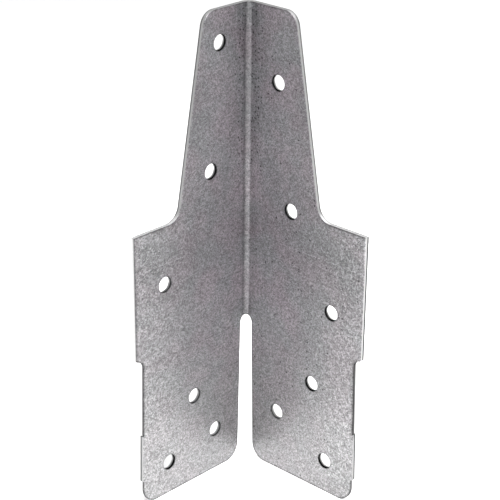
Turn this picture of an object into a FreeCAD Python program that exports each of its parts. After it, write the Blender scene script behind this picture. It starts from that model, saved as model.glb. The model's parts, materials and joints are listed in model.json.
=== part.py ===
import FreeCAD, Part
import math
import os

# Framing anchor: one blank of zinc-coated steel sheet, punched, then folded once to a right angle.
# Two wings meet at an upright bend. A relief slot runs up the bend from the foot and parts the wings
# into two legs, so that a leg can be bent on site. Sizes are in millimetres and degrees.
# Reach is measured along a wing from the outer face of the other wing, and rise from the foot.

# Sheet and fold
SHEET = 1.2
BEND_RADIUS = 1.4           # inside of the fold
NEUTRAL_SHARE = 0.42        # of the sheet, from the inside to the layer that keeps its length in the fold

# Outline of a wing
HEIGHT = 123.8
WING_REACH = 39.6
TOP_REACH = 15.95           # of the top edge, before its corner is rounded
TOP_CORNER_RADIUS = 3.9
SHOULDER_RISE = 74.1
TAPER_FOOT_REACH = 24.85    # where the taper would meet the shoulder without its fillet
SHOULDER_FILLET = 4.2

# Leg of a wing, below the notch in its outer edge
NOTCH_RISE = 41.3           # at the outer edge
NOTCH_DEPTH = 2.2
NOTCH_SLOPE = 20.0          # of the notch's upper edge, falling towards the bend
NOTCH_FILLET = 2.0
LEG_LEAN = 1.25             # both edges of a leg lean away from the bend towards the foot
FOOT_OUTER_RADIUS = 4.8
FOOT_INNER_RADIUS = 4.4

# Relief slot up the bend, as punched in the flat blank
SLOT_WIDTH = 4.1
SLOT_RISE = 41.25

# Nail holes. Each wing has six, and those of wing B are staggered from those of wing A.
NAIL_HOLE_DIAMETER = 4.0
TOP_NAIL_INSET = 4.95       # in from the corner of the top edge
TOP_NAIL_DROP = 8.2         # below the top edge, on wing A
TOP_NAIL_STAGGER = 10.0
TAPER_NAIL_INSET = 10.85    # in from the foot of the taper, on wing A
TAPER_NAIL_RISE = 9.8       # above the shoulder, on wing A
TAPER_NAIL_STAGGER = 10.0
TAPER_NAIL_SIDESTEP = 1.9
SIDE_NAIL_INSET = 9.9       # in from the outer edge
SIDE_NAIL_DROP = 15.2       # below the shoulder, on wing A
SIDE_NAIL_STAGGER = 7.9
LEG_NAIL_REACH = 19.9
LEG_NAIL_RISE = 24.4
LEG_NAIL_STAGGER = 4.9
LEG_NAIL_SIDESTEP = 4.1
SLOT_NAIL_REACH = 12.4
SLOT_NAIL_RISE = 11.7
SLOT_NAIL_STAGGER = 5.0
FOOT_NAIL_INSET = 10.5      # in from the outer edge
FOOT_NAIL_RISE = 8.9

# Cutters
CUT_CLEARANCE = 0.3         # how far a cutter passes beyond the sheet
CUT_START_SHARE = 0.5       # of the inside radius, where the slot's cutter starts in the fold
SLOT_CURVE_POINTS = 9       # along the slot's round end, from one side of the fold to the other

# Derived places of the fold
BEND_CENTRE = SHEET + BEND_RADIUS
OUTER_BEND_RADIUS = SHEET + BEND_RADIUS
NEUTRAL_RADIUS = BEND_RADIUS + NEUTRAL_SHARE * SHEET
FOLD_HALF_ANGLE = math.pi / 4
FOLD_HALF_LENGTH = NEUTRAL_RADIUS * FOLD_HALF_ANGLE    # along the layer that keeps its length
FOLD_BISECTOR = math.pi + FOLD_HALF_ANGLE

# Derived places of the slot and the leg
SLOT_RADIUS = SLOT_WIDTH / 2
SLOT_CENTRE_RISE = SLOT_RISE - SLOT_RADIUS
SLOT_CENTRE_REACH = BEND_CENTRE - FOLD_HALF_LENGTH
LEAN = math.radians(LEG_LEAN)
NOTCH_REACH = WING_REACH - NOTCH_DEPTH
NOTCH_ROOT_RISE = NOTCH_RISE - NOTCH_DEPTH * math.tan(math.radians(NOTCH_SLOPE))


def on_wing(reach, rise):
    """A point on the outer face of wing A, which lies in the XZ plane."""
    return FreeCAD.Vector(reach, 0, rise)


def slot_end_rise(from_bend_middle):
    """Rise of the slot's round end at a distance along the blank from the middle of the bend."""
    return SLOT_CENTRE_RISE + math.sqrt(SLOT_RADIUS ** 2 - from_bend_middle ** 2)


def slot_end_point(angle):
    """A point of the slot's round end on the wing, at an angle above the level through its centre."""
    reach = SLOT_CENTRE_REACH + SLOT_RADIUS * math.cos(angle)
    return on_wing(reach, SLOT_CENTRE_RISE + SLOT_RADIUS * math.sin(angle))


def slot_flank_reach(rise):
    """Reach of the slot's straight flank, which leaves the round end at a tangent."""
    tangent = slot_end_point(LEAN)
    return tangent.x + (tangent.z - rise) * math.tan(LEAN)


def leg_reach(rise):
    """Reach of the leg's outer edge, which starts at the root of the notch."""
    return NOTCH_REACH + (NOTCH_ROOT_RISE - rise) * math.tan(LEAN)


def rounded_run(corners):
    """Edges through corners (reach, rise, radius), rounded by arcs that are tangent to both sides."""
    edges = []
    last = on_wing(*corners[0][:2])
    for before, corner, after in zip(corners, corners[1:], corners[2:]):
        point = on_wing(*corner[:2])
        radius = corner[2]
        if radius == 0:
            edges.append(Part.LineSegment(last, point).toShape())
            last = point
            continue
        back = (on_wing(*before[:2]) - point).normalize()
        ahead = (on_wing(*after[:2]) - point).normalize()
        half_angle = back.getAngle(ahead) / 2
        cut_back = radius / math.tan(half_angle)
        to_arc = radius / math.sin(half_angle) - radius
        middle = point + (back + ahead).normalize() * to_arc
        start = point + back * cut_back
        end = point + ahead * cut_back
        edges.append(Part.LineSegment(last, start).toShape())
        edges.append(Part.Arc(start, middle, end).toShape())
        last = end
    edges.append(Part.LineSegment(last, on_wing(*corners[-1][:2])).toShape())
    return edges


def wing_outline():
    """Closed outline of a wing's flat part, from the bend's upper end round to its lower end."""
    bend_top = on_wing(BEND_CENTRE, HEIGHT)
    bend_foot = on_wing(BEND_CENTRE, slot_end_rise(FOLD_HALF_LENGTH))
    bend_foot_angle = math.acos(FOLD_HALF_LENGTH / SLOT_RADIUS)
    flank_top = slot_end_point(LEAN)
    corners = [
        (bend_top.x, bend_top.z, 0),
        (TOP_REACH, HEIGHT, TOP_CORNER_RADIUS),
        (TAPER_FOOT_REACH, SHOULDER_RISE, SHOULDER_FILLET),
        (WING_REACH, SHOULDER_RISE, 0),
        (WING_REACH, NOTCH_RISE, 0),
        (NOTCH_REACH, NOTCH_ROOT_RISE, NOTCH_FILLET),
        (leg_reach(0), 0, FOOT_OUTER_RADIUS),
        (slot_flank_reach(0), 0, FOOT_INNER_RADIUS),
        (flank_top.x, flank_top.z, 0),
    ]
    edges = rounded_run(corners)
    arc_middle = slot_end_point((LEAN + bend_foot_angle) / 2)
    edges.append(Part.Arc(flank_top, arc_middle, bend_foot).toShape())
    edges.append(Part.LineSegment(bend_foot, bend_top).toShape())
    return Part.Wire(edges)


def nail_places(side):
    """Centres (reach, rise) of a wing's nail holes: side 0 is wing A, and side 1 the staggered wing B."""
    top_reach = TOP_REACH - TOP_NAIL_INSET
    taper_reach = TAPER_FOOT_REACH - TAPER_NAIL_INSET + side * TAPER_NAIL_SIDESTEP
    side_reach = WING_REACH - SIDE_NAIL_INSET
    leg_reach_here = LEG_NAIL_REACH + side * LEG_NAIL_SIDESTEP
    foot_reach = WING_REACH - FOOT_NAIL_INSET
    return [
        (top_reach, HEIGHT - TOP_NAIL_DROP - side * TOP_NAIL_STAGGER),
        (taper_reach, SHOULDER_RISE + TAPER_NAIL_RISE - side * TAPER_NAIL_STAGGER),
        (side_reach, SHOULDER_RISE - SIDE_NAIL_DROP - side * SIDE_NAIL_STAGGER),
        (leg_reach_here, LEG_NAIL_RISE + side * LEG_NAIL_STAGGER),
        (SLOT_NAIL_REACH, SLOT_NAIL_RISE + side * SLOT_NAIL_STAGGER),
        (foot_reach, FOOT_NAIL_RISE),
    ]


def flat_wing(side):
    """Flat part of a wing with its nail holes, standing where wing A stands."""
    through_sheet = FreeCAD.Vector(0, 1, 0)
    wing = Part.Face(wing_outline()).extrude(through_sheet * SHEET)
    for reach, rise in nail_places(side):
        start = on_wing(reach, rise) - through_sheet * CUT_CLEARANCE
        length = SHEET + 2 * CUT_CLEARANCE
        wing = wing.cut(Part.makeCylinder(NAIL_HOLE_DIAMETER / 2, length, start, through_sheet))
    return wing


def fold_point(radius, angle, rise):
    """A point in the fold, at an angle from the line that runs from its centre to its outer corner."""
    return FreeCAD.Vector(
        BEND_CENTRE + radius * math.cos(FOLD_BISECTOR + angle),
        BEND_CENTRE + radius * math.sin(FOLD_BISECTOR + angle),
        rise,
    )


def slot_end_curve(radius):
    """The slot's round end wrapped on the fold at one radius, and a little past the fold on each side."""
    last_step = SLOT_CURVE_POINTS - 1
    angles = [FOLD_HALF_ANGLE * (2 * step / last_step - 1) for step in range(SLOT_CURVE_POINTS)]
    past_fold = (FOLD_HALF_ANGLE + SLOT_RADIUS / NEUTRAL_RADIUS) / 2
    angles = [-past_fold] + angles + [past_fold]
    points = [fold_point(radius, angle, slot_end_rise(NEUTRAL_RADIUS * angle)) for angle in angles]
    curve = Part.BSplineCurve()
    curve.interpolate(Points=points, Parameters=angles)
    return curve.toShape()


def fold():
    """The bent strip between the wings, from the top edge down to the round end of the slot."""
    corner = FreeCAD.Vector(BEND_CENTRE, BEND_CENTRE, 0)
    upright = FreeCAD.Vector(0, 0, 1)
    first_angle = math.degrees(FOLD_BISECTOR - FOLD_HALF_ANGLE)
    turn = math.degrees(2 * FOLD_HALF_ANGLE)
    outer = Part.makeCylinder(OUTER_BEND_RADIUS, HEIGHT, corner, upright, turn)
    inner = Part.makeCylinder(BEND_RADIUS, HEIGHT, corner, upright, turn)
    strip = outer.cut(inner)
    strip.rotate(corner, upright, first_angle)
    # The wall of the slot stands square to the sheet, so it runs outward from the fold's centre line
    inside = slot_end_curve(BEND_RADIUS * CUT_START_SHARE)
    outside = slot_end_curve(OUTER_BEND_RADIUS + CUT_CLEARANCE)
    slot = Part.makeRuledSurface(inside, outside).extrude(upright * -(SLOT_RISE + CUT_CLEARANCE))
    return strip.cut(slot)


def anchor():
    wing_a = flat_wing(0)
    wing_b = flat_wing(1).mirror(FreeCAD.Vector(0, 0, 0), FreeCAD.Vector(1, -1, 0))
    folded = wing_a.fuse([fold(), wing_b]).removeSplitter()
    # The origin is on the ground, at the middle of the square that the two wings span
    folded.translate(FreeCAD.Vector(-WING_REACH / 2, -WING_REACH / 2, 0))
    return folded


os.makedirs("parts", exist_ok=True)
part = anchor()
print("solids", len(part.Solids), "valid", part.isValid(), "volume", round(part.Volume, 2))
part.Solids[0].exportStep("parts/anchor_plate.step")
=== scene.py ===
import json
import math

import bmesh
import bpy
import numpy as np
from mathutils import Matrix, Vector
from mathutils.geometry import delaunay_2d_cdt


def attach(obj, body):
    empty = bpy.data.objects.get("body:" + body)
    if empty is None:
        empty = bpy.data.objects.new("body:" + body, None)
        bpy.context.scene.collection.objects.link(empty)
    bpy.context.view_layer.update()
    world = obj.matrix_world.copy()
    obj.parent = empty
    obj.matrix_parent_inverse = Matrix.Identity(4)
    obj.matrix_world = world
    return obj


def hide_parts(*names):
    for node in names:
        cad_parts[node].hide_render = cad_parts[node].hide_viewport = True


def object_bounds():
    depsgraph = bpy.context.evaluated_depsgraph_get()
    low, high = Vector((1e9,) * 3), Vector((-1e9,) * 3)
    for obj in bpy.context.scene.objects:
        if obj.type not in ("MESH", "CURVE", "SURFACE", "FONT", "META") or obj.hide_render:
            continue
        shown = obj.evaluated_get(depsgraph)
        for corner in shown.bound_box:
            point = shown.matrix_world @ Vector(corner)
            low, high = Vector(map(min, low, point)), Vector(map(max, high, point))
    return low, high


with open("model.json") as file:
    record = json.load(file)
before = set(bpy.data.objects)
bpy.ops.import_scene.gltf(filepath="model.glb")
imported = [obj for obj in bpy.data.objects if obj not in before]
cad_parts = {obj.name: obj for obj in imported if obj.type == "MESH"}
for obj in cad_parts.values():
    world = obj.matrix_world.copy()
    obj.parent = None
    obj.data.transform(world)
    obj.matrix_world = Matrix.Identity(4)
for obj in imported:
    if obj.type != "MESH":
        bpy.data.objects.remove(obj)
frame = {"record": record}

# Framing anchor of zinc-coated steel sheet. The blank is laid out flat, its edges are given the section
# that punching and slitting leave, and it is then folded up where the frame stands.
# Sizes are in millimetres. Wing A runs along +X and wing B along +Y.
# Along is the distance on the blank from the middle of the bend, positive on wing A, rise is the height
# above the foot, and depth goes through the sheet from the inside of the fold.

MM = 0.001
NODE = "anchor_plate"
CAD_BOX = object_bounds()

# Sizes that the frame gives
LOW = np.array(CAD_BOX[0]) / MM
HIGH = np.array(CAD_BOX[1]) / MM
WING_REACH = HIGH[0] - LOW[0]
HEIGHT = HIGH[2] - LOW[2]
NAIL_MOUNTS = [mount for mount in frame["record"]["mounts"] if mount["kind"] == "bore"]
SHEET = NAIL_MOUNTS[0]["dims"]["length_mm"]

# Fold
BEND_RADIUS = 1.4
NEUTRAL_SHARE = 0.42
BEND_CENTRE = SHEET + BEND_RADIUS
NEUTRAL_RADIUS = BEND_RADIUS + NEUTRAL_SHARE * SHEET
FOLD_HALF_ANGLE = math.pi / 4
FOLD_HALF_LENGTH = NEUTRAL_RADIUS * FOLD_HALF_ANGLE
FOLD_BISECTOR = math.pi + FOLD_HALF_ANGLE

# Outline of a wing, as reach from the outer face of the other wing, and rise
TOP_REACH = 15.95
TOP_CORNER_RADIUS = 3.9
SHOULDER_RISE = 74.1
TAPER_FOOT_REACH = 24.85
SHOULDER_FILLET = 4.2
NOTCH_RISE = 41.3
NOTCH_DEPTH = 2.2
NOTCH_SLOPE = math.radians(20.0)
NOTCH_ROOT_RISE = NOTCH_RISE - NOTCH_DEPTH * math.tan(NOTCH_SLOPE)
NOTCH_FILLET = 2.0
LEAN = math.radians(1.25)
FOOT_OUTER_RADIUS = 4.8
FOOT_INNER_RADIUS = 4.4
SLOT_WIDTH = 4.1
SLOT_RADIUS = SLOT_WIDTH / 2
SLOT_RISE = 41.25
SLOT_CENTRE_RISE = SLOT_RISE - SLOT_RADIUS
SHARP_CORNER = 0.2          # what a corner that looks sharp is really rounded by

# Run of a leg's edge where the blank was parted from its strip last, below a short nick
PARTING_RISE = 6.95
PARTING_TOP = 19.8
NICK_LENGTH = 0.25
PARTING_PROUD = 0.22        # how far that run stands out on wing B; on wing A it is flush

# Section of a cut edge: rolled over on the inside, square with a slight burr on the outside
ROLL = 0.14
BURR = 0.05
SUPPORT = 0.03              # between the start of a rounding and the ring that holds it
FACE_RINGS = (0.5, 0.3)     # rings on the flat faces beside an edge, as distance from it
SHEAR_SHARE = 0.38          # of the sheet, down to where the clean shear turns into fracture
ROLL_STEPS = 4
BURR_STEPS = 2

# How finely the blank is divided
ARC_STEP = math.radians(6.0)
MIN_ARC_STEPS = 4
LINE_STEP = 1.5
HOLE_STEPS = 72
BEND_STEPS = 8              # on each side of the middle
BEND_ROW = 1.0
FLAT_GRID = 2.5
GRID_CLEARANCE = 0.8
RUN_END = 3 * SUPPORT       # from the end of a straight run to the station that holds it
BEND_MARGIN = 4 * SUPPORT   # from the bend to the points that hold it, and from those to an edge
FILL_TOLERANCE = 1e-7       # within which two points of a flat face are one
MERGE_DISTANCE = 1e-7       # within which two points of the mesh are one, in metres

# Surfaces of the sheet, in the order of the material slots: the coat, then the walls of the cut edges
ZINC, TRIM, SIDE, NECK, DARKER_NECK, PARTED, NICK, TOE, RELIEF, PUNCHED, SECOND_PUNCHED, LIT_SIDE = range(12)

# Runs of the edge that are given other tones on wing B: the outer side is a lit copy with painted light,
# and the neck a darker copy
ON_WING_B = {SIDE: LIT_SIDE, NECK: DARKER_NECK}

# Nail holes whose walls take a second, different set of dark tones
SECOND_WALL_HOLES = {"nail_hole_a_side", "nail_hole_a_leg", "nail_hole_a_slot", "nail_hole_b_slot"}

# Painted shade of the coat beside each kind of cut edge, standing in for the dark reflection of the
# rolled-over edge, as a share of the tone of the open face: at the second face ring, where the edge starts
# to roll over, and where it meets the wall
RIM_TONES = {
    TRIM: (0.99, 0.95, 0.90),
    SIDE: (0.77, 0.61, 0.44),
    NECK: (0.66, 0.46, 0.25),
    DARKER_NECK: (0.73, 0.56, 0.38),
    PARTED: (0.99, 0.95, 0.90),
    NICK: (0.77, 0.61, 0.44),
    TOE: (0.70, 0.52, 0.30),
    RELIEF: (0.66, 0.46, 0.25),
    # Beside a nail hole the coat turns near black, with painted shade at the wall
    PUNCHED: (0.92, 0.72, 0.02),
    SECOND_PUNCHED: (0.92, 0.78, 0.25),
    LIT_SIDE: (0.99, 0.95, 0.90),
}
TRIMMED_SHOULDER = (0.70, 0.42, 0.75)   # painted shade and light beside a trimmed edge that faces up, on a shoulder
TRIMMED_TOP = (0.88, 0.66, 0.70)        # and at the top
SIDE_SHEEN = 0.45                  # painted light: how much lighter the coat is beside the upper end of wing B's outer side
SIDE_SHEEN_RISE = (62.0, 70.0)     # rise over which that comes in


class Loop:
    """Stations along a closed edge of the blank, each with the way it moves when the edge is inset."""

    def __init__(self, stations):
        point, inward, limit, beyond, surface = zip(*stations)
        self.point = np.array(point, float)
        self.inward = np.array(inward, float)
        self.limit = np.array(limit, float)
        self.beyond = np.array(beyond, float)
        self.surface = surface

    def inset(self, distance):
        """The edge moved into the sheet. A rounded corner shrinks to its centre, then moves as if sharp."""
        first = np.minimum(distance, self.limit)
        rest = np.maximum(distance - self.limit, 0)
        return self.point + self.inward * first[:, None] + self.beyond * rest[:, None]


def station(point, inward, surface, limit=math.inf, beyond=(0.0, 0.0)):
    """A place on an edge, its way inward up to a limit, its way beyond that, and the wall's surface."""
    return (tuple(point), tuple(inward), limit, tuple(beyond), surface)


def along(reach):
    """Distance on the blank of a reach on a wing."""
    return reach - BEND_CENTRE + FOLD_HALF_LENGTH


def leg_edge(rise):
    """Place on the blank of a leg's outer edge, which leans from the root of the notch."""
    return along(WING_REACH - NOTCH_DEPTH) + (NOTCH_ROOT_RISE - rise) * math.tan(LEAN)


def slot_point(angle):
    """A point of the slot's round end, at an angle above the level through its centre."""
    return (SLOT_RADIUS * math.cos(angle), SLOT_CENTRE_RISE + SLOT_RADIUS * math.sin(angle))


def wing_corners():
    """Corners (along, rise, radius, surface of the run after it) from the top edge down to the slot."""
    flank_top = slot_point(LEAN)
    flank_foot = flank_top[0] + flank_top[1] * math.tan(LEAN)
    return [
        (FOLD_HALF_LENGTH + SUPPORT, HEIGHT, 0, TRIM),
        (along(TOP_REACH), HEIGHT, TOP_CORNER_RADIUS, TRIM),
        (along(TAPER_FOOT_REACH), SHOULDER_RISE, SHOULDER_FILLET, TRIM),
        (along(WING_REACH), SHOULDER_RISE, SHARP_CORNER, SIDE),
        (along(WING_REACH), NOTCH_RISE, SHARP_CORNER, NECK),
        (leg_edge(NOTCH_ROOT_RISE), NOTCH_ROOT_RISE, NOTCH_FILLET, NECK),
        (leg_edge(0), 0, FOOT_OUTER_RADIUS, RELIEF),
        (flank_foot, 0, FOOT_INNER_RADIUS, RELIEF),
        (*flank_top, 0, RELIEF),
    ]


class Corner:
    """A rounded corner of the edge between two straight runs."""

    def __init__(self, before, point, after, radius):
        self.point = point
        self.radius = radius
        self.back = (before - point) / np.linalg.norm(before - point)
        self.ahead = (after - point) / np.linalg.norm(after - point)
        self.half = math.acos(np.clip(self.back @ self.ahead, -1, 1)) / 2
        bisector = (self.back + self.ahead) / np.linalg.norm(self.back + self.ahead)
        self.mitre = bisector / math.sin(self.half)
        self.centre = point + self.mitre * radius
        self.is_outer = self.back[0] * self.ahead[1] - self.back[1] * self.ahead[0] > 0

    def start(self):
        return self.point + self.back * self.radius / math.tan(self.half)

    def end(self):
        return self.point + self.ahead * self.radius / math.tan(self.half)

    def limit(self, place):
        """How far a place on a run beside this corner can be inset before it meets the other run."""
        if not self.is_outer:
            return math.inf
        return np.linalg.norm(place - self.point) * math.tan(self.half)

    def stations(self, surface_before, surface_after):
        """Stations round the corner. An outer corner shrinks when it is inset, and an inner one grows."""
        turn = math.pi - 2 * self.half
        steps = max(MIN_ARC_STEPS, math.ceil(turn / ARC_STEP))
        spin = -turn if self.is_outer else turn
        first = self.start() - self.centre
        made = []
        for step in range(steps + 1):
            cos, sin = math.cos(spin * step / steps), math.sin(spin * step / steps)
            arm = np.array([first[0] * cos - first[1] * sin, first[0] * sin + first[1] * cos])
            surface = surface_before if step * 2 < steps else surface_after
            inward = arm / self.radius
            if self.is_outer:
                made.append(station(self.centre + arm, -inward, surface, self.radius, self.mitre))
            else:
                made.append(station(self.centre + arm, inward, surface))
        return made


def run_stations(start, end, surface, corners):
    """Stations inside a straight run, with one close to each end, between the corners beside it."""
    run = end - start
    length = np.linalg.norm(run)
    ahead = run / length
    inward = (ahead[1], -ahead[0])
    held = min(RUN_END, length / 3)
    count = max(1, math.ceil((length - 2 * held) / LINE_STEP))
    made = []
    for distance in np.linspace(held, length - held, count + 1):
        place = start + ahead * distance
        nearest = min(corners, key=lambda corner: corner.limit(place))
        made.append(station(place, inward, surface, nearest.limit(place), nearest.mitre))
    return made


def by_finish(start, end, surface):
    """A straight run as stretches of one finish each. A leg's edge is split at its nick and parted run."""
    if not start[1] > PARTING_TOP > PARTING_RISE > end[1]:
        return [(start, end, surface)]
    ends = (
        (PARTING_TOP + NICK_LENGTH, surface),
        (PARTING_TOP, NICK),
        (PARTING_RISE, PARTED),
        (end[1], TOE),
    )
    made = []
    for rise, finish in ends:
        stop = start + (end - start) * (start[1] - rise) / (start[1] - end[1])
        made.append((start, stop, finish))
        start = stop
    return made


def bend_places():
    """Places across one half of the bend, from its middle to just past its end."""
    places = [FOLD_HALF_LENGTH * step / BEND_STEPS for step in range(BEND_STEPS + 1)]
    return places + [FOLD_HALF_LENGTH + SUPPORT]


def slot_end_stations():
    """Stations of the slot's round end, from the flank of wing A to the middle of the bend."""
    past_bend = math.acos((FOLD_HALF_LENGTH + SUPPORT) / SLOT_RADIUS)
    steps = math.ceil((past_bend - LEAN) / ARC_STEP)
    angles = [LEAN + (past_bend - LEAN) * step / steps for step in range(steps)]
    angles += [math.acos(place / SLOT_RADIUS) for place in reversed(bend_places())]
    made = []
    for angle in angles:
        away = (math.cos(angle), math.sin(angle))
        made.append(station(slot_point(angle), away, RELIEF))
    return made


def half_outline():
    """Stations of wing A's edge, from the middle of the top edge to the middle of the slot's end.

    A corner starts with the finish of the last stretch before it.
    """
    places = wing_corners()
    points = [np.array(place[:2], float) for place in places]
    turns = [Corner(*points[i - 1:i + 2], places[i][2]) for i in range(1, len(places) - 1)]
    surfaces = [place[3] for place in places]
    made = [station((place, HEIGHT), (0, -1), surfaces[0]) for place in bend_places()]
    last = points[0]
    for index, turn in enumerate(turns):
        beside = turns[max(index - 1, 0):index + 1]
        for start, end, finish in by_finish(last, turn.start(), surfaces[index]):
            made += run_stations(start, end, finish, beside)
        made += turn.stations(finish, surfaces[index + 1])
        last = turn.end()
    made += run_stations(last, points[-1], surfaces[-2], turns[-1:])
    return made + slot_end_stations()


def mirrored(stations):
    """The stations of wing B, in the order that carries the edge on."""
    made = []
    for point, inward, limit, beyond, surface in reversed(stations):
        proud = PARTING_PROUD if surface == PARTED else 0.0
        made.append(station(
            (-point[0] + inward[0] * proud, point[1] - inward[1] * proud),
            (-inward[0], inward[1]),
            ON_WING_B.get(surface, surface),
            limit,
            (-beyond[0], beyond[1]),
        ))
    return made


def outline():
    """The whole outer edge, round both wings."""
    half = half_outline()
    return Loop(half + mirrored(half)[1:-1])


def nail_place(mount):
    """Place (along, rise) of a nail hole on the blank, and its radius."""
    x, y, rise = np.array(mount["pos_m"]) / MM - LOW
    on_wing_a = abs(mount["axis"][1]) > abs(mount["axis"][0])
    place = along(x) if on_wing_a else -along(y)
    return place, rise, mount["dims"]["r_mm"]


def nail_hole(mount):
    """The edge of a nail hole."""
    place, rise, radius = nail_place(mount)
    surface = SECOND_PUNCHED if mount["name"] in SECOND_WALL_HOLES else PUNCHED
    made = []
    for step in range(HOLE_STEPS):
        angle = 2 * math.pi * step / HOLE_STEPS
        away = np.array([math.cos(angle), math.sin(angle)])
        made.append(station(np.array([place, rise]) + away * radius, away, surface))
    return Loop(made)


def edge_section():
    """Section of a cut edge, as (inset, depth, is the strip that follows a cut wall)."""
    section = [(inset, 0.0, False) for inset in FACE_RINGS]
    section.append((ROLL + SUPPORT, 0.0, False))
    for step in range(ROLL_STEPS + 1):
        angle = math.pi / 2 * step / ROLL_STEPS
        is_end = step == ROLL_STEPS
        section.append((ROLL * (1 - math.sin(angle)), ROLL * (1 - math.cos(angle)), is_end))
    section.append((0.0, ROLL + SUPPORT, True))
    section.append((0.0, SHEET * SHEAR_SHARE, True))
    section.append((0.0, SHEET - BURR - SUPPORT, True))
    for step in range(BURR_STEPS + 1):
        angle = math.pi / 2 * step / BURR_STEPS
        is_end = step == BURR_STEPS
        depth = SHEET - BURR * (1 - math.sin(angle))
        section.append((BURR * (1 - math.cos(angle)), depth, not is_end))
    section.append((BURR + SUPPORT, SHEET, False))
    section += [(inset, SHEET, False) for inset in reversed(FACE_RINGS)]
    return section


def inside(points, polygon):
    """Which points lie in a polygon, by counting the sides that a line to the right crosses."""
    x = points[:, 0][:, None]
    y = points[:, 1][:, None]
    x1, y1 = polygon[:, 0], polygon[:, 1]
    x2, y2 = np.roll(x1, -1), np.roll(y1, -1)
    spans = (y1 > y) != (y2 > y)
    with np.errstate(divide="ignore", invalid="ignore"):
        crossing = x1 + (y - y1) * (x2 - x1) / (y2 - y1)
    return (spans & (x < crossing)).sum(axis=1) % 2 == 1


def between(points, rings):
    """Which points lie inside the first ring and outside the others, which are holes."""
    found = inside(points, rings[0])
    for hole in rings[1:]:
        found &= ~inside(points, hole)
    return found


def grid(columns, rows):
    return np.array([(column, row) for row in rows for column in columns])


def fill_points(rings):
    """Points inside a flat face: close rows in the bend, and an open grid on the wings."""
    halves = bend_places() + [FOLD_HALF_LENGTH + BEND_MARGIN]
    across = sorted({place for half in halves for place in (half, -half)})
    bend = grid(across, np.arange(SLOT_RISE, HEIGHT, BEND_ROW))
    columns = np.arange(FOLD_HALF_LENGTH + FLAT_GRID, along(WING_REACH), FLAT_GRID)
    columns = np.concatenate([-columns[::-1], columns])
    flat = grid(columns, np.arange(FLAT_GRID / 2, HEIGHT, FLAT_GRID))
    edge = np.concatenate(rings)
    kept = []
    for points, clearance in ((bend, BEND_MARGIN), (flat, GRID_CLEARANCE)):
        points = points[between(points, rings)]
        gaps = np.linalg.norm(points[:, None, :] - edge[None, :, :], axis=2).min(axis=1)
        kept.append(points[gaps > clearance])
    return np.concatenate(kept)


def ring_edges(rings):
    """Sides of all the rings, as pairs of point numbers that run on from ring to ring."""
    made = []
    start = 0
    for ring in rings:
        count = len(ring)
        made += [(start + index, start + (index + 1) % count) for index in range(count)]
        start += count
    return made


def fill(rings):
    """A face between its rings: the points added to those of the rings, and the triangles."""
    added = fill_points(rings)
    points = [Vector(point) for point in np.concatenate(rings + [added])]
    made = delaunay_2d_cdt(points, ring_edges(rings), [], 0, FILL_TOLERANCE)
    places, _, faces, sources = made[:4]
    corners = np.array([places[index] for face in faces for index in face]).reshape(-1, 3, 2)
    kept = between(corners.mean(axis=1), rings)
    triangles = [tuple(sources[index][0] for index in face) for face, keep in zip(faces, kept) if keep]
    return added, triangles


def folded(flat):
    """Flat places (along, rise, depth) folded up, in the row frame and in metres."""
    side = np.abs(flat[:, 0])
    depth = flat[:, 2]
    reach = BEND_CENTRE + side - FOLD_HALF_LENGTH
    off = SHEET - depth
    on_a = flat[:, 0] > 0
    x = np.where(on_a, reach, off)
    y = np.where(on_a, off, reach)
    in_bend = side < FOLD_HALF_LENGTH
    angle = FOLD_BISECTOR + flat[:, 0] / NEUTRAL_RADIUS
    radius = BEND_RADIUS + depth
    x = np.where(in_bend, BEND_CENTRE + radius * np.cos(angle), x)
    y = np.where(in_bend, BEND_CENTRE + radius * np.sin(angle), y)
    return (np.stack([x, y, flat[:, 1]], axis=1) + LOW) * MM


def rim_tone(surface, point, inward, inset):
    """Painted shade and light of the coat at a distance from an edge.

    Beside a trimmed edge it depends on how far that faces up, and beside wing B's lit outer side on the
    rise.
    """
    tones = np.array(RIM_TONES[surface])
    if surface == TRIM:
        facing_up = max(0.0, -inward[1])
        crest = TRIMMED_TOP if point[1] > SHOULDER_RISE + SHOULDER_FILLET else TRIMMED_SHOULDER
        tones += (np.array(crest) - tones) * facing_up ** 2
    if surface == LIT_SIDE:
        tones *= 1 + SIDE_SHEEN * np.interp(point[1], SIDE_SHEEN_RISE, (0.0, 1.0))
    places = (0.0, ROLL + SUPPORT, FACE_RINGS[1], FACE_RINGS[0])
    return np.interp(inset, places, (*tones[::-1], 1.0))


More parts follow.
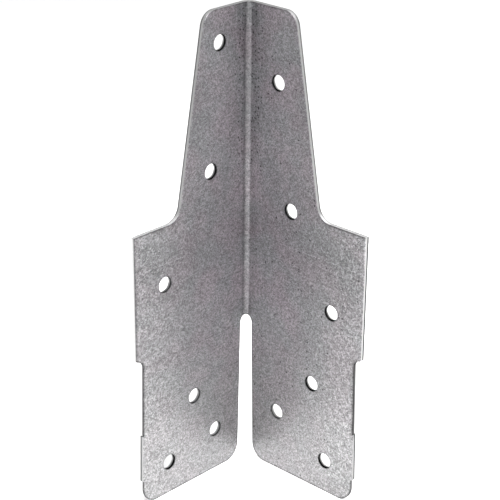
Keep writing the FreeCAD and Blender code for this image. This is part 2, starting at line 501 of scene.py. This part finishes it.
class Blank:
    """The flat blank in the making: points (along, rise, depth) with a tone, and faces with a surface."""

    def __init__(self):
        self.points = []
        self.rim = []
        self.faces = []
        self.surfaces = []

    def add_ring(self, loop, inset, depth):
        """Adds an edge moved into the sheet, at a depth, and gives the numbers of its points."""
        ids = len(self.points) + np.arange(len(loop.point))
        self.points += [(*place, depth) for place in loop.inset(inset)]
        beside = zip(loop.surface, loop.point, loop.inward)
        self.rim += [rim_tone(*where, inset) for where in beside]
        return ids

    def add_strip(self, upper, lower, surfaces):
        """Adds the faces between two rings."""
        after = np.roll(np.arange(len(upper)), -1)
        self.faces += zip(upper, upper[after], lower[after], lower)
        self.surfaces += surfaces

    def add_edge(self, loop):
        """Adds the section of a cut edge all along it, and gives its rings on the two flat faces."""
        section = edge_section()
        rings = [self.add_ring(loop, inset, depth) for inset, depth, _ in section]
        coat = [ZINC] * len(loop.point)
        for upper, lower, (_, _, is_wall) in zip(rings, rings[1:], section):
            self.add_strip(upper, lower, loop.surface if is_wall else coat)
        return rings[0], rings[-1]

    def add_face(self, rings, depth):
        """Adds a flat face of the sheet between its rings."""
        places = np.array(self.points)[:, :2]
        added, triangles = fill([places[ring] for ring in rings])
        ids = np.concatenate([*rings, len(self.points) + np.arange(len(added))])
        self.points += [(*place, depth) for place in added]
        self.rim += [1.0] * len(added)
        self.faces += [tuple(ids[list(triangle)]) for triangle in triangles]
        self.surfaces += [ZINC] * len(triangles)

    def fold(self):
        """The blank as a mesh, folded up, with the coat's tone and the share of the sheet at each point."""
        points = np.array(self.points)
        faces = [[int(number) for number in face] for face in self.faces]
        mesh = bpy.data.meshes.new("anchor_sheet")
        mesh.from_pydata(folded(points).tolist(), [], faces)
        mesh.polygons.foreach_set("material_index", self.surfaces)
        mesh.polygons.foreach_set("use_smooth", [True] * len(faces))
        for name, values in (("rim", self.rim), ("depth", points[:, 2] / SHEET)):
            made = mesh.attributes.new(name, "FLOAT", "POINT")
            made.data.foreach_set("value", np.array(values, np.float32))
        return mesh


def sheet_mesh():
    """The whole anchor as one closed mesh."""
    blank = Blank()
    edges = [outline()] + [nail_hole(mount) for mount in NAIL_MOUNTS]
    inner_rings, outer_rings = zip(*[blank.add_edge(edge) for edge in edges])
    blank.add_face(inner_rings, 0.0)
    blank.add_face(outer_rings, SHEET)
    return blank.fold()


def tidy_mesh(mesh):
    """Joins the points of corners that have shrunk to one, and turns every face outward."""
    work = bmesh.new()
    work.from_mesh(mesh)
    bmesh.ops.remove_doubles(work, verts=work.verts, dist=MERGE_DISTANCE)
    bmesh.ops.dissolve_degenerate(work, edges=work.edges, dist=MERGE_DISTANCE)
    bmesh.ops.recalc_face_normals(work, faces=work.faces)
    work.to_mesh(mesh)
    work.free()


class Surface:
    """A node material in the making, with its shader and the place on the object in millimetres."""

    def __init__(self, name):
        self.material = bpy.data.materials.new(name)
        self.material.use_nodes = True
        self.tree = self.material.node_tree
        self.tree.nodes.clear()
        self.shader = self.node("ShaderNodeBsdfPrincipled")
        output = self.node("ShaderNodeOutputMaterial")
        self.tree.links.new(self.shader.outputs["BSDF"], output.inputs["Surface"])
        coords = self.node("ShaderNodeTexCoord").outputs["Object"]
        self.place = self.vector("SCALE", coords, Scale=1 / MM)

    def node(self, kind, inputs=None, **settings):
        """A new node with its settings, and its inputs set to a value or linked from a socket."""
        made = self.tree.nodes.new(kind)
        for name, value in settings.items():
            setattr(made, name, value)
        for name, value in (inputs or {}).items():
            self.plug(made.inputs[name], value)
        return made

    def plug(self, socket, value):
        if isinstance(value, bpy.types.NodeSocket):
            self.tree.links.new(value, socket)
        else:
            socket.default_value = value

    def set(self, **inputs):
        """Sets the shader's inputs, whose names are written with underscores here."""
        for name, value in inputs.items():
            self.plug(self.shader.inputs[name.replace("_", " ")], value)

    def math(self, operation, *values):
        return self.node("ShaderNodeMath", dict(enumerate(values)), operation=operation).outputs[0]

    def vector(self, operation, *values, **named):
        inputs = {**dict(enumerate(values)), **named}
        made = self.node("ShaderNodeVectorMath", inputs, operation=operation)
        return made.outputs["Value" if operation == "DOT_PRODUCT" else "Vector"]

    def noise(self, scale, detail=2.0, roughness=0.5):
        """Soft noise from 0 to 1, with scale as features per millimetre."""
        inputs = {"Vector": self.place, "Scale": scale, "Detail": detail, "Roughness": roughness}
        return self.node("ShaderNodeTexNoise", inputs).outputs["Fac"]

    def cells(self, scale):
        """Crystals: a value from 0 to 1 that is the same all over each of them."""
        made = self.node("ShaderNodeTexVoronoi", {"Vector": self.place, "Scale": scale})
        return self.node("ShaderNodeSeparateColor", {"Color": made.outputs["Color"]}).outputs["Red"]

    def fade(self, value, low, high, to_low=0.0, to_high=1.0):
        """A smooth change from one value to another as the input goes from low to high."""
        inputs = {"Value": value, "From Min": low, "From Max": high, "To Min": to_low, "To Max": to_high}
        made = self.node("ShaderNodeMapRange", inputs, interpolation_type="SMOOTHSTEP")
        return made.outputs["Result"]

    def spread(self, value, amount):
        """A value from 0 to 1 turned into a factor about 1."""
        return self.math("MULTIPLY_ADD", value, 2 * amount, 1 - amount)

    def product(self, *values):
        made = values[0]
        for value in values[1:]:
            made = self.math("MULTIPLY", made, value)
        return made

    def attribute(self, name):
        return self.node("ShaderNodeAttribute", attribute_name=name).outputs["Fac"]

    def axes(self):
        split = self.node("ShaderNodeSeparateXYZ", {"Vector": self.place})
        return split.outputs["X"], split.outputs["Y"], split.outputs["Z"]

    def grey(self, tone, red=1.0, blue=1.0):
        """A colour from a tone, with its red and its blue as shares of that."""
        shares = {"Red": red, "Green": 1.0, "Blue": blue}
        parts = {name: self.math("MULTIPLY", tone, share) for name, share in shares.items()}
        return self.node("ShaderNodeCombineColor", parts).outputs["Color"]

    def bump(self, height, strength, distance):
        inputs = {"Height": height, "Strength": strength, "Distance": distance * MM}
        return self.node("ShaderNodeBump", inputs).outputs["Normal"]

    def steps(self, value, stops):
        """A value that runs through stops (place, value) as the input goes from 0 to 1."""
        made = self.node("ShaderNodeValToRGB", {"Fac": value})
        ramp = made.color_ramp.elements
        while len(ramp) < len(stops):
            ramp.new(1.0)
        for stop, (place, tone) in zip(ramp, stops):
            stop.position = place
            stop.color = (tone, tone, tone, 1)
        return made.outputs["Color"]


# Zinc coat: tone of the whole, and layers of grain with their scale, as features per millimetre, and their
# spread, as how far they go to either side of that tone
ZINC_TONE = 0.297
CRYSTAL_SCALE = 3.6
CRYSTAL_SPREAD = 0.34
FLECK_SCALE = 2.3
FLECK_SPREAD = 0.16
OUTER_FLECK_SPREAD = 0.34
TO_OUTER_FLECK = (18.0, 38.0)   # reach over which the flecks grow stronger
MOTTLE_SCALE = 0.6
MOTTLE_DETAIL = 3.0
MOTTLE_ROUGHNESS = 0.6
MOTTLE_SPREAD = 0.25
CLOUD_SCALE = 0.07
CLOUD_DETAIL = 3.0
CLOUD_SPREAD = 0.10

# Gloss and relief of the coat, which follow the mottle
ZINC_ROUGHNESS = (0.40, 0.50)
BUMP_STRENGTH = 0.25
BUMP_DEPTH = 0.05
GLOSS_RANGE = (0.3, 0.7)    # noise over which the roughness of a surface changes

# Tint of the coat, as (noise from, noise to, excess from, excess to) of red and of blue, and how much of it
# there is by rise and by reach
TINT_SCALE = 0.11
RED_TINT = (0.35, 0.65, 0.0, 0.05)
BLUE_TINT = (0.25, 0.75, 0.015, 0.04)
TINT_BY_RISE = (5.0, 50.0, 0.6, 1.6)
TINT_BY_REACH = (12.0, 36.0, 1.1, 0.6)

# Painted shade close to the bend, where the wings shade each other, as (share of this reach, tone)
BEND_RANGE = 9.0
BEND_SHADE = ((0.26, 0.56), (0.34, 0.90), (0.50, 0.96), (1.0, 1.0))

# Painted shade and highlight across the bend: a darker band on wing A's side of the middle and a bright
# band on wing B's side. From wing A to wing B, as (share of the way, tone), over this far to each side
BEND_SIDE = 2.0
BEND_SIDE_TONES = (
    (0.18, 1.0), (0.26, 0.85), (0.32, 0.74), (0.45, 0.82), (0.54, 0.88), (0.60, 1.02),
    (0.68, 1.26), (0.80, 1.34), (0.86, 1.30), (0.95, 1.03), (1.0, 1.0),
)

# Painted light and shade by rise, in place of the soft reflections that change up a wing, as (share of the
# height, tone): beside the bend, in a wing's middle and towards its edge
BEND_TONES = (
    (0.0, 0.94), (0.17, 0.96), (0.26, 0.92), (0.37, 1.0), (0.45, 1.0),
    (0.53, 0.88), (0.60, 1.02), (0.66, 1.03), (0.75, 0.92),
)
MIDDLE_TONES = (
    (0.0, 0.94), (0.17, 1.0), (0.27, 1.0), (0.40, 0.97), (0.50, 0.87), (0.60, 0.90), (0.75, 0.93),
)
OUTER_TONES = (
    (0.0, 0.96), (0.14, 1.0), (0.21, 0.98), (0.28, 0.93), (0.40, 0.86),
    (0.52, 0.76), (0.58, 0.88), (0.70, 0.85), (0.80, 0.62),
)
TO_MIDDLE = (4.0, 9.0)      # reach over which the tone beside the bend turns into that of the middle
TO_OUTER = (9.0, 24.0)      # and that of the middle into that of the edge

# Faint level marks of the press, as (rise, from side, to side, change of tone). Side is the reach on wing B
# less that on wing A, so it is 0 in the middle of the bend and negative on wing A.
LEVEL_MARKS = (
    (64.35, -36.0, -22.0, 0.30),
    (64.40, -4.2, -1.3, -0.35),
    (64.50, -1.2, 1.6, 0.40),
    (64.35, 1.6, 38.4, 0.20),
    (53.95, -14.0, -1.5, -0.22),
    (44.10, -13.0, -1.5, -0.18),
    (39.15, -36.0, -2.0, -0.20),
    (28.25, -33.0, -2.0, -0.22),
)
MARK_WIDTH = (0.06, 0.20)   # from the middle of a mark to where it starts to fade, and to where it ends
MARK_END = 1.0              # over which a mark fades at its two ends

# Dark pits in the coat of wing B, and more of them along both sides of the upper bend
PIT_SCALE = 0.9
PIT_SIZE = (0.14, 0.26)     # from the middle of a cell to where its pit starts to fade, and ends, scaled
PIT_TONE = 0.30
PIT_SHARE = 0.02            # how many of the cells hold a pit
BEND_PIT_SHARE = 0.45       # and how many more do along the upper bend
PIT_START = (0.9, 1.3)      # side over which the pits begin past the bend
BEND_PIT_END = (2.6, 5.0)   # and over which the many along the bend end
BEND_PIT_RISE = (76.0, 86.0)    # rise over which those begin


def tone_over_wing(coat, reach, rise):
    """Factor of painted light and shade that changes slowly over a wing."""
    height = coat.math("DIVIDE", rise, HEIGHT)
    tone = coat.steps(height, BEND_TONES)
    for stops, span in ((MIDDLE_TONES, TO_MIDDLE), (OUTER_TONES, TO_OUTER)):
        change = coat.math("SUBTRACT", coat.steps(height, stops), tone)
        tone = coat.math("MULTIPLY_ADD", change, coat.fade(reach, *span), tone)
    return tone


def marked(coat, side, rise):
    """Factor of tone with the level marks in it."""
    factor = 1.0
    for mark_rise, start, end, change in LEVEL_MARKS:
        off = coat.math("ABSOLUTE", coat.math("SUBTRACT", rise, mark_rise))
        mark = coat.product(
            coat.fade(off, *MARK_WIDTH, change, 0.0),
            coat.fade(side, start, start + MARK_END),
            coat.fade(side, end - MARK_END, end, 1.0, 0.0),
        )
        factor = coat.math("ADD", mark, factor)
    return factor


def pitted(coat, side, rise):
    """Factor of tone with the dark pits in it."""
    flat = coat.node("ShaderNodeCombineXYZ", {"X": side, "Y": rise}).outputs["Vector"]
    inputs = {"Vector": flat, "Scale": PIT_SCALE}
    cell = coat.node("ShaderNodeTexVoronoi", inputs, voronoi_dimensions="2D")
    chance = coat.node("ShaderNodeSeparateColor", {"Color": cell.outputs["Color"]}).outputs["Red"]
    off_bend = coat.math("ABSOLUTE", side)
    along_bend = coat.product(
        coat.fade(off_bend, *PIT_START),
        coat.fade(off_bend, *BEND_PIT_END, BEND_PIT_SHARE, 0.0),
        coat.fade(rise, *BEND_PIT_RISE),
    )
    share = coat.math("ADD", coat.fade(side, *PIT_START, 0.0, PIT_SHARE), along_bend)
    shape = coat.fade(cell.outputs["Distance"], *PIT_SIZE, 1.0, 0.0)
    pit = coat.math("MULTIPLY", coat.math("LESS_THAN", chance, share), shape)
    return coat.math("MULTIPLY_ADD", pit, PIT_TONE - 1.0, 1.0)


def flecked(coat, reach):
    """Factor of tone with the flecks in it, which are stronger towards the edge of a wing."""
    fleck = coat.math("SUBTRACT", coat.cells(FLECK_SCALE), 0.5)
    amount = coat.fade(reach, *TO_OUTER_FLECK, 2 * FLECK_SPREAD, 2 * OUTER_FLECK_SPREAD)
    return coat.math("MULTIPLY_ADD", fleck, amount, 1.0)


def tone_over_bend(coat, reach, side):
    """Factor of painted shade and highlight that changes quickly in and beside the bend."""
    across = coat.math("MULTIPLY_ADD", side, 0.5 / BEND_SIDE, 0.5)
    return coat.product(
        coat.steps(coat.math("DIVIDE", reach, BEND_RANGE), BEND_SHADE),
        coat.steps(across, BEND_SIDE_TONES),
    )


def tinted(coat, tone, reach, rise):
    """Colour of a tone with the cloudy tint in it."""
    tint = coat.noise(TINT_SCALE)
    amount = coat.product(coat.fade(rise, *TINT_BY_RISE), coat.fade(reach, *TINT_BY_REACH))
    red = coat.math("MULTIPLY_ADD", coat.fade(tint, *RED_TINT), amount, 1.0)
    blue = coat.math("MULTIPLY_ADD", coat.fade(tint, *BLUE_TINT), amount, 1.0)
    return coat.grey(tone, red, blue)


def zinc_material():
    """Matt zinc: fine crystals of uneven tone and a cloudy tint, with painted shade along the cut edges,
    painted shade and highlight in the bend, and painted light and shade over the wings.
    """
    coat = Surface("zinc_coat")
    x, y, rise = coat.axes()
    reach_a = coat.math("SUBTRACT", x, LOW[0])
    reach_b = coat.math("SUBTRACT", y, LOW[1])
    reach = coat.math("MAXIMUM", reach_a, reach_b)
    side = coat.math("SUBTRACT", reach_b, reach_a)
    mottle = coat.noise(MOTTLE_SCALE, MOTTLE_DETAIL, MOTTLE_ROUGHNESS)
    rim = coat.attribute("rim")
    tone = coat.product(
        coat.spread(coat.cells(CRYSTAL_SCALE), CRYSTAL_SPREAD),
        flecked(coat, reach),
        coat.spread(mottle, MOTTLE_SPREAD),
        coat.spread(coat.noise(CLOUD_SCALE, CLOUD_DETAIL), CLOUD_SPREAD),
        rim,
        marked(coat, side, rise),
        pitted(coat, side, rise),
        tone_over_bend(coat, reach, side),
        tone_over_wing(coat, reach, rise),
        ZINC_TONE,
    )
    # The painted shade along the edges darkens the reflection as well as the colour
    coat.set(Base_Color=tinted(coat, tone, reach, rise), Specular_Tint=coat.grey(rim), Metallic=1.0)
    coat.set(Roughness=coat.fade(mottle, *GLOSS_RANGE, *ZINC_ROUGHNESS))
    coat.set(Normal=coat.bump(mottle, BUMP_STRENGTH, BUMP_DEPTH))
    return coat.material


# Name of each cut wall, and its tone from the inner face to the outer face, as (share of the sheet, tone):
# partly the bare steel's own tone and partly painted shade and light. A trimmed edge has a second row of
# tones, painted light, for where it faces up.
WALLS = {
    TRIM: (
        "trimmed_edge",
        ((0.0, 0.26), (0.20, 0.40), (0.58, 0.40), (0.70, 0.16), (1.0, 0.16)),
        ((0.0, 0.74), (0.62, 0.80), (0.78, 0.42), (1.0, 0.42)),
    ),
    # Wing B's outer side, a lit copy of the shorn edge with painted light in its tone
    LIT_SIDE: ("rubbed_edge", ((0.0, 0.30), (0.20, 0.46), (0.50, 0.46), (0.60, 0.07), (1.0, 0.09))),
    SIDE: ("shorn_edge", ((0.0, 0.08), (0.14, 0.10), (0.30, 0.42), (0.55, 0.58), (1.0, 0.56))),
    NECK: ("neck_edge", ((0.0, 0.05), (0.24, 0.06), (0.42, 0.40), (0.70, 0.80), (1.0, 0.90))),
    # Wing B's neck: a darker copy of the neck's wall, with a lighter rim beside it
    DARKER_NECK: ("dull_neck_edge", ((0.0, 0.03), (0.30, 0.04), (0.60, 0.14), (0.85, 0.45), (1.0, 0.70))),
    PARTED: (
        "parted_edge",
        ((0.0, 0.30), (0.15, 0.36), (0.50, 0.36), (0.64, 0.08), (0.86, 0.10), (1.0, 0.30)),
    ),
    # The nick's wall is dark with painted shadow of the small step between two cuts, which has no shape
    # here
    NICK: ("nicked_edge", ((0.0, 0.03), (1.0, 0.08))),
    TOE: ("toe_edge", ((0.0, 0.05), (0.20, 0.06), (0.36, 0.40), (0.60, 0.80), (1.0, 0.90))),
    RELIEF: ("relief_edge", ((0.0, 0.05), (0.15, 0.08), (0.35, 0.80), (1.0, 0.90))),
    # A punched wall is bare steel, darkened to near black with painted shade inside the hole
    PUNCHED: (
        "punched_wall",
        ((0.0, 0.005), (0.50, 0.006), (0.57, 0.14), (0.78, 0.32), (0.95, 0.65), (1.0, 0.90)),
    ),
    SECOND_PUNCHED: (
        "worn_wall",
        ((0.0, 0.03), (0.34, 0.04), (0.46, 0.18), (0.70, 0.28), (0.90, 0.50), (1.0, 0.75)),
    ),
}
FACING_UP = (0.45, 1.0)     # upward part of the normal over which the second row, painted light, takes over
TOP_EDGE_TONE = 0.62        # painted light of the second row at the top edge, as a share of that at the shoulders
CUT_SCALE = 3.0
CUT_DETAIL = 3.0
CUT_SPREAD = 0.2
CUT_ROUGHNESS = (0.45, 0.55)


def wall_material(name, tones, tones_facing_up=None):
    """Bare steel of a cut wall, whose tone changes from the clean shear to the fracture and the burr.

    The tone holds painted shade and light, and a trimmed edge gets painted light where it faces up.
    """
    cut = Surface(name)
    grain = cut.noise(CUT_SCALE, CUT_DETAIL)
    depth = cut.attribute("depth")
    tone = cut.steps(depth, tones)
    if tones_facing_up:
        normal = cut.node("ShaderNodeNewGeometry").outputs["Normal"]
        upward = cut.fade(cut.vector("DOT_PRODUCT", normal, (0, 0, 1)), *FACING_UP)
        top_share = cut.fade(cut.axes()[2], SHOULDER_RISE, HEIGHT, 1.0, TOP_EDGE_TONE)
        lit = cut.math("MULTIPLY", cut.steps(depth, tones_facing_up), top_share)
        tone = cut.math("MULTIPLY_ADD", cut.math("SUBTRACT", lit, tone), upward, tone)
    colour = cut.grey(cut.math("MULTIPLY", tone, cut.spread(grain, CUT_SPREAD)))
    cut.set(Base_Color=colour, Specular_Tint=colour, Metallic=1.0)
    cut.set(Roughness=cut.fade(grain, *GLOSS_RANGE, *CUT_ROUGHNESS))
    return cut.material


def build_anchor():
    """The one piece of the part, with its materials in the order of the surfaces."""
    mesh = sheet_mesh()
    tidy_mesh(mesh)
    piece = bpy.data.objects.new("anchor_sheet", mesh)
    bpy.context.scene.collection.objects.link(piece)
    mesh.materials.append(zinc_material())
    for surface in sorted(WALLS):
        mesh.materials.append(wall_material(*WALLS[surface]))
    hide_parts(NODE)
    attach(piece, "root")


# Camera of the photograph, found from the edges of the two wings. Its angles are in degrees.
CAMERA_PLACE = (253.3, 236.7, 224.6)
CAMERA_HEADING = 223.059
CAMERA_PITCH = 23.927
CAMERA_ROLL = 0.618
FOCAL_PIXELS = 1609.5
IMAGE_PIXELS = 500
SENSOR = 36.0
CLIP = (0.01, 50.0)         # in metres


def build_camera():
    heading = math.radians(CAMERA_HEADING)
    pitch = math.radians(CAMERA_PITCH)
    roll = math.radians(CAMERA_ROLL)
    ahead = Vector((
        math.cos(heading) * math.cos(pitch),
        math.sin(heading) * math.cos(pitch),
        -math.sin(pitch),
    ))
    level = ahead.cross(Vector((0, 0, 1))).normalized()
    above = level.cross(ahead)
    right = level * math.cos(roll) + above * math.sin(roll)
    up = above * math.cos(roll) - level * math.sin(roll)
    data = bpy.data.cameras.new("camera")
    data.sensor_width = SENSOR
    data.lens = FOCAL_PIXELS * SENSOR / IMAGE_PIXELS
    data.clip_start, data.clip_end = CLIP
    camera = bpy.data.objects.new("camera", data)
    bpy.context.scene.collection.objects.link(camera)
    turned = Matrix((right, up, -ahead)).transposed().to_4x4()
    camera.matrix_world = Matrix.Translation(Vector(CAMERA_PLACE) * MM) @ turned
    bpy.context.scene.camera = camera


FLOOR_HALF = 3000.0
FLOOR_COLOUR = (0.92, 0.92, 0.92, 1)
FLOOR_ROUGHNESS = 0.9


def build_floor():
    mesh = bpy.data.meshes.new("floor")
    half = FLOOR_HALF * MM
    corners = [(-half, -half, 0), (half, -half, 0), (half, half, 0), (-half, half, 0)]
    mesh.from_pydata(corners, [], [(0, 1, 2, 3)])
    paint = Surface("pale_floor")
    paint.set(Base_Color=FLOOR_COLOUR, Roughness=FLOOR_ROUGHNESS)
    mesh.materials.append(paint.material)
    floor = bpy.data.objects.new("floor", mesh)
    bpy.context.scene.collection.objects.link(floor)


# Soft light: boxes as (name, place, place that it is aimed at, size, power in watts), where a place is
# (towards the camera, to its right, up) from the origin of the frame
WORLD_LIGHT = 0.35
SOFT_BOXES = (
    ("front_box", (350, 50, 600), (350, 50, 0), 400, 9.2),
    ("right_box", (350, 350, 600), (350, 350, 0), 400, 3.0),
    ("top_box", (0, 120, 600), (0, 120, 0), 400, 2.2),
    ("back_right_box", (-420, 420, 260), (0, 0, 60), 500, 0.58),
    ("back_left_box", (-420, -420, 260), (0, 0, 60), 500, 0.50),
    ("low_back_box", (-160, -70, 50), (-25, -20, 0), 80, 0.20),
    ("right_panel", (60, 900, 400), (0, 0, 60), 500, 0.5),
    ("left_panel", (60, -900, 400), (0, 0, 60), 500, 0.6),
)


def from_camera(front, right, up):
    """A place in metres from its distances towards the camera, to the camera's right, and up."""
    heading = math.radians(CAMERA_HEADING)
    x = -front * math.cos(heading) + right * math.sin(heading)
    y = -front * math.sin(heading) - right * math.cos(heading)
    return Vector((x, y, up)) * MM


def build_soft_box(name, place, aim, size, power):
    data = bpy.data.lights.new(name, "AREA")
    data.size = size * MM
    data.energy = power
    box = bpy.data.objects.new(name, data)
    box.location = from_camera(*place)
    box.rotation_euler = (from_camera(*aim) - box.location).to_track_quat("-Z", "Y").to_euler()
    box.visible_camera = False
    bpy.context.scene.collection.objects.link(box)


def build_light():
    world = bpy.data.worlds.new("studio")
    bpy.context.scene.world = world
    world.use_nodes = True
    background = world.node_tree.nodes["Background"]
    background.inputs["Color"].default_value = (1, 1, 1, 1)
    background.inputs["Strength"].default_value = WORLD_LIGHT
    for box in SOFT_BOXES:
        build_soft_box(*box)
    bpy.context.scene.view_settings.view_transform = "Standard"


build_anchor()
build_camera()
build_floor()
build_light()
